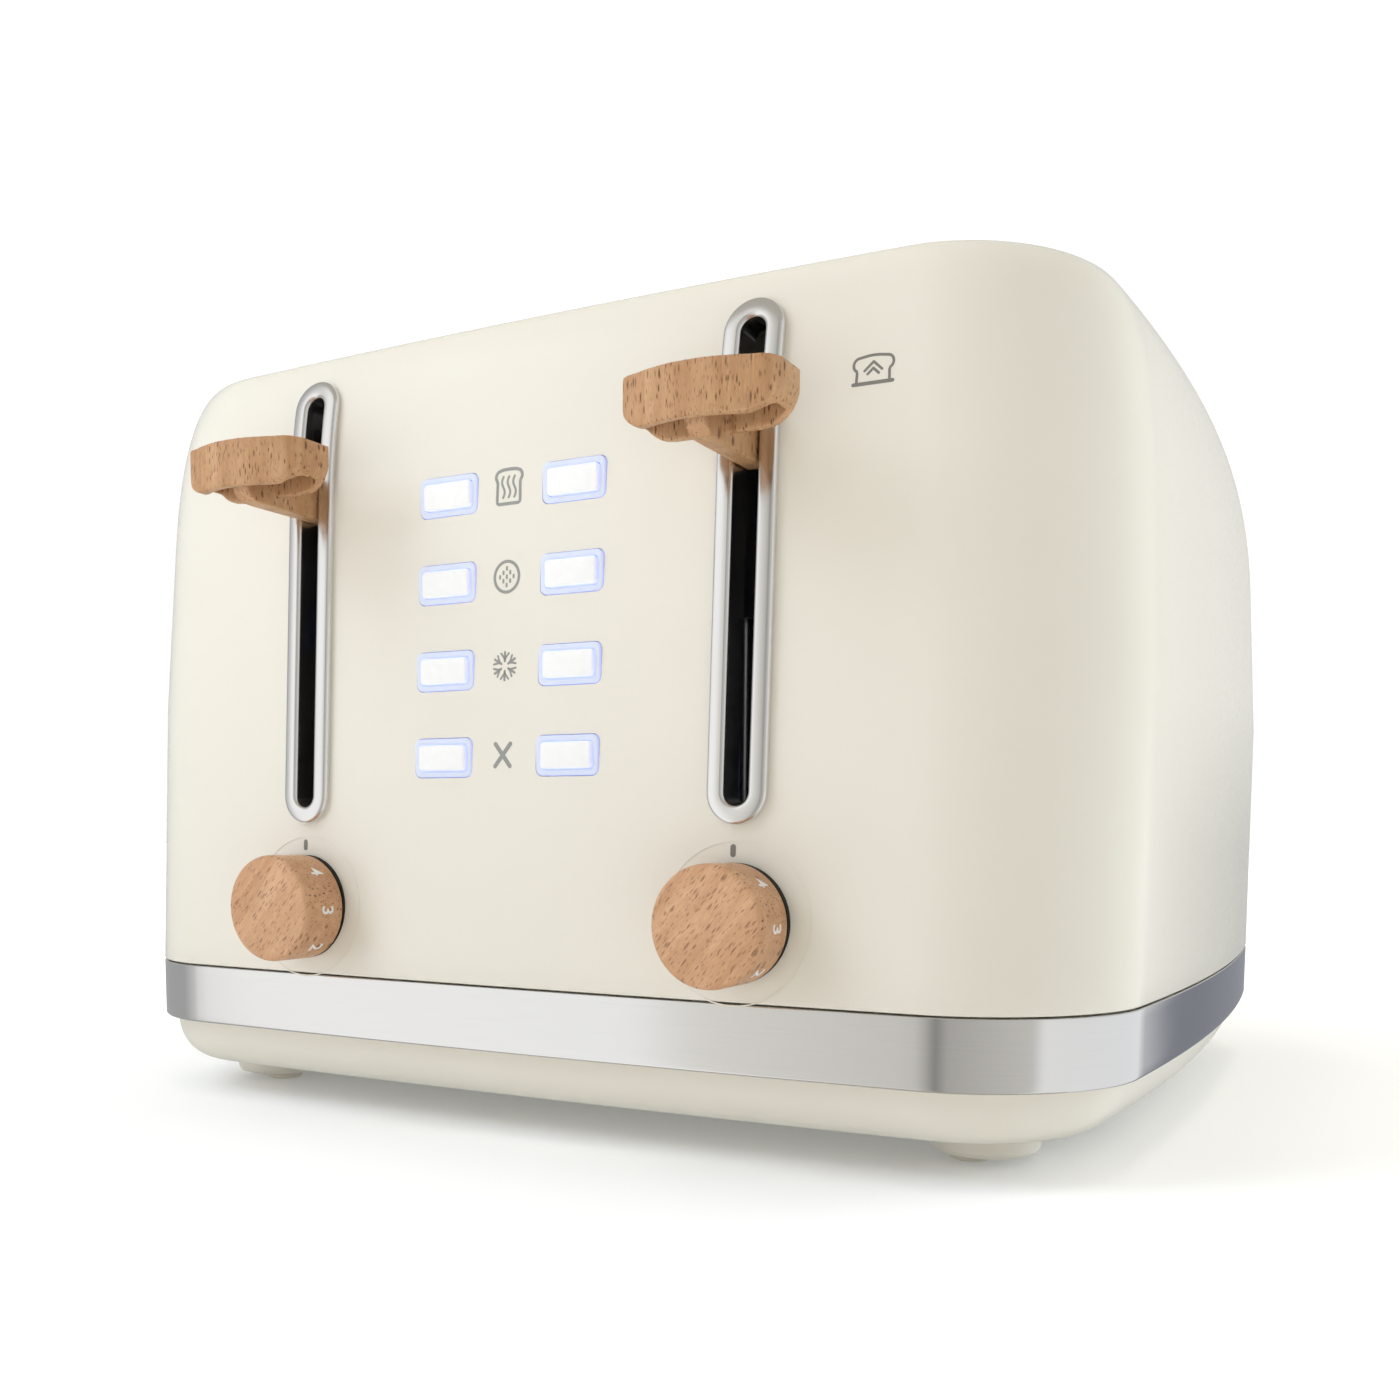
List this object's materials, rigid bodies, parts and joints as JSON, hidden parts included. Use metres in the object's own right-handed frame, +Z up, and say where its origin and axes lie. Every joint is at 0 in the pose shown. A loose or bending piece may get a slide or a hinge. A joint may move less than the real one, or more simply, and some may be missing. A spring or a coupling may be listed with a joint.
{
  "type": "pop up toaster",
  "caption": "Wide cream pop-up toaster with long bread slots, sprung wooden levers and dials, lit push buttons, steel band and pull-out crumb trays.",
  "frame": {"origin": "on the table surface, under the middle of the whole toaster", "axes": "+Z up, -Y towards the front with the levers and dials, +X along the front to the right"},
  "size_m": [0.3014, 0.305, 0.2031],
  "materials": {
    "cream_shell": "gloss cream",
    "steel_band": "brushed",
    "steel_trim": "satin polished",
    "beech_wood": "satin lacquered beech",
    "rubber_pad": "matte",
    "white_cap": "gloss white",
    "light_ring": "translucent, lit pale blue",
    "dark_plastic": "matte black",
    "zinc_steel": "zinc plated sheet",
    "spring_steel": "bright wire",
    "copper_coil": "lacquered copper winding",
    "circuit_board": "green solder mask",
    "post_plastic": "natural nylon",
    "mica": "mica sheet",
    "control_body": "moulded"
  },
  "bodies": {
    "housing": {"body_shell": "cream_shell", "trim_band": "steel_band", "base_housing": "cream_shell", "foot_pads": "rubber_pad", "bread_slot_rims": "steel_trim", "case_screws": "zinc_steel", "cord_gland": "dark_plastic", "left_lever_trim": "steel_trim", "right_lever_trim": "steel_trim", "left_electromagnet": "copper_coil", "right_electromagnet": "copper_coil", "left_guide_rods": "zinc_steel", "right_guide_rods": "zinc_steel", "left_browning_control": "control_body", "right_browning_control": "control_body", "left_button_lights": "light_ring", "right_button_lights": "light_ring", "control_board": "circuit_board", "control_board_posts": "post_plastic", "power_board": "circuit_board", "chassis_floor": "zinc_steel", "front_chassis_plate": "zinc_steel", "rear_chassis_plate": "zinc_steel", "top_chassis_plate": "zinc_steel", "left_heat_shields": "zinc_steel", "right_heat_shields": "zinc_steel", "left_heating_elements": "mica", "right_heating_elements": "mica", "left_bread_guides": "zinc_steel", "right_bread_guides": "zinc_steel"},
    "left_carriage_group": {"left_lever_handle": "beech_wood", "left_carriage": "zinc_steel", "left_bread_racks": "zinc_steel", "left_latch_armature": "zinc_steel", "left_return_spring": "spring_steel"},
    "right_carriage_group": {"right_lever_handle": "beech_wood", "right_carriage": "zinc_steel", "right_bread_racks": "zinc_steel", "right_latch_armature": "zinc_steel", "right_return_spring": "spring_steel"},
    "left_dial": {"left_browning_knob": "beech_wood", "left_knob_shaft": "zinc_steel"},
    "right_dial": {"right_browning_knob": "beech_wood", "right_knob_shaft": "zinc_steel"},
    "left_reheat_button": {"left_reheat_button": "white_cap"},
    "left_bagel_button": {"left_bagel_button": "white_cap"},
    "left_defrost_button": {"left_defrost_button": "white_cap"},
    "left_cancel_button": {"left_cancel_button": "white_cap"},
    "right_reheat_button": {"right_reheat_button": "white_cap"},
    "right_bagel_button": {"right_bagel_button": "white_cap"},
    "right_defrost_button": {"right_defrost_button": "white_cap"},
    "right_cancel_button": {"right_cancel_button": "white_cap"},
    "left_tray": {"left_crumb_tray": "zinc_steel"},
    "right_tray": {"right_crumb_tray": "zinc_steel"}
  },
  "joints": [
    {"name": "left_lever_slide", "type": "slide", "parent": "housing", "child": "left_carriage_group", "axis": [0, 0, 1], "range_m": [-0.072, 0.012], "stiffness_N_per_m": 160, "springref_m": 0.0081, "deforming": ["left_return_spring"]},
    {"name": "left_dial_turn", "type": "hinge", "parent": "housing", "child": "left_dial", "pos_m": [-0.064, -0.1285, 0.0559], "axis": [0, -1, 0], "range_deg": [-170, 40]},
    {"name": "left_cancel_press", "type": "slide", "parent": "housing", "child": "left_cancel_button", "axis": [0, 1, 0], "range_m": [0, 0.0012], "stiffness_N_per_m": 500},
    {"name": "left_defrost_press", "type": "slide", "parent": "housing", "child": "left_defrost_button", "axis": [0, 1, 0], "range_m": [0, 0.0012], "stiffness_N_per_m": 500},
    {"name": "left_bagel_press", "type": "slide", "parent": "housing", "child": "left_bagel_button", "axis": [0, 1, 0], "range_m": [0, 0.0012], "stiffness_N_per_m": 500},
    {"name": "left_reheat_press", "type": "slide", "parent": "housing", "child": "left_reheat_button", "axis": [0, 1, 0], "range_m": [0, 0.0012], "stiffness_N_per_m": 500},
    {"name": "left_tray_slide", "type": "slide", "parent": "housing", "child": "left_tray", "axis": [0, 1, 0], "range_m": [0, 0.2]},
    {"name": "right_lever_slide", "type": "slide", "parent": "housing", "child": "right_carriage_group", "axis": [0, 0, 1], "range_m": [-0.072, 0.012], "stiffness_N_per_m": 160, "springref_m": 0.0081, "deforming": ["right_return_spring"]},
    {"name": "right_dial_turn", "type": "hinge", "parent": "housing", "child": "right_dial", "pos_m": [0.064, -0.1285, 0.0559], "axis": [0, -1, 0], "range_deg": [-170, 40]},
    {"name": "right_cancel_press", "type": "slide", "parent": "housing", "child": "right_cancel_button", "axis": [0, 1, 0], "range_m": [0, 0.0012], "stiffness_N_per_m": 500},
    {"name": "right_defrost_press", "type": "slide", "parent": "housing", "child": "right_defrost_button", "axis": [0, 1, 0], "range_m": [0, 0.0012], "stiffness_N_per_m": 500},
    {"name": "right_bagel_press", "type": "slide", "parent": "housing", "child": "right_bagel_button", "axis": [0, 1, 0], "range_m": [0, 0.0012], "stiffness_N_per_m": 500},
    {"name": "right_reheat_press", "type": "slide", "parent": "housing", "child": "right_reheat_button", "axis": [0, 1, 0], "range_m": [0, 0.0012], "stiffness_N_per_m": 500},
    {"name": "right_tray_slide", "type": "slide", "parent": "housing", "child": "right_tray", "axis": [0, 1, 0], "range_m": [0, 0.2]}
  ]
}
